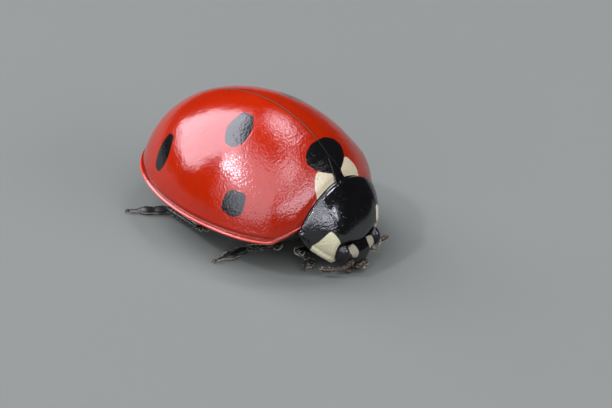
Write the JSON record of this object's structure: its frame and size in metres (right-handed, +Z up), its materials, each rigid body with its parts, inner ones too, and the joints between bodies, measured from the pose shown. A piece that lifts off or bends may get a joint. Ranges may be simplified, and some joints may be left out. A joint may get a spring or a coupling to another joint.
{
  "type": "seven-spot ladybird",
  "caption": "Life-size still model of a seven-spot ladybird standing with folded wing cases, tucked head, feelers and bent legs.",
  "frame": {"origin": "on the floor, under the middle of the animal's box", "axes": "+Z up, -Y the way the head points, +X the animal's left side"},
  "size_m": [0.0056, 0.0072, 0.0038],
  "materials": {
    "wing_case": "glossy orange-red shell with fine pits and black spots",
    "shell_black": "glossy black shell with fine pits and cream marks",
    "underside": "satin black shell with fine down",
    "eye": "dark grey, finely faceted, glossy",
    "leg": "satin black",
    "foot": "dark brown with pale hairs and amber claws",
    "feeler": "brown, darker at the club",
    "mouth": "dark brown to amber"
  },
  "bodies": {
    "root": {"head": "shell_black", "labrum": "mouth", "pronotum": "shell_black", "chest": "underside", "scutellum": "shell_black", "thorax": "underside", "abdomen": "underside", "wing_case_left": "wing_case", "eye_left": "eye", "feeler_left": "feeler", "palp_left": "mouth", "front_left_femur": "leg", "front_left_shin": "leg", "front_left_foot": "foot", "middle_left_femur": "leg", "middle_left_shin": "leg", "middle_left_foot": "foot", "hind_left_femur": "leg", "hind_left_shin": "leg", "hind_left_foot": "foot", "wing_case_right": "wing_case", "eye_right": "eye", "feeler_right": "feeler", "palp_right": "mouth", "front_right_femur": "leg", "front_right_shin": "leg", "front_right_foot": "foot", "middle_right_femur": "leg", "middle_right_shin": "leg", "middle_right_foot": "foot", "hind_right_femur": "leg", "hind_right_shin": "leg", "hind_right_foot": "foot"}
  },
  "joints": []
}
